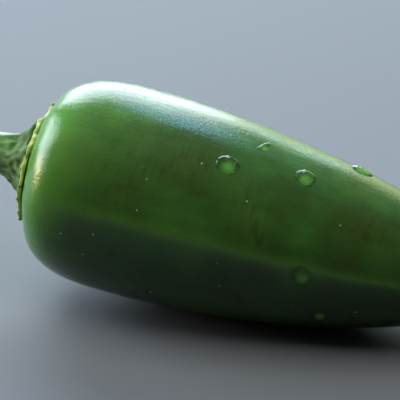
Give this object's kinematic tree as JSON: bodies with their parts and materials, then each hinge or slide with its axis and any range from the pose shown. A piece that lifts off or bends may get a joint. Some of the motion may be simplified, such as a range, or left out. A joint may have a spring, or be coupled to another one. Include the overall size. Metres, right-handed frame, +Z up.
{
  "type": "chilli pepper",
  "caption": "Plump green chilli pepper with a rounded shoulder, a blunt tip, a thin toothed calyx and a short curved stem, lying on its side.",
  "frame": {"origin": "middle of the underside of the whole pepper's box, on the surface that the pod rests on", "axes": "+X from the stem to the pod's tip, +Z up from the surface"},
  "size_m": [0.1012, 0.0316, 0.0331],
  "materials": {
    "pod_skin": "smooth waxy skin, glossy, deep green",
    "calyx_green": "satin, pale lime green",
    "stem_green": "satin, ribbed, mid green",
    "water": "clear"
  },
  "bodies": {
    "root": {"pod": "pod_skin", "calyx": "calyx_green", "stem": "stem_green"}
  },
  "joints": []
}
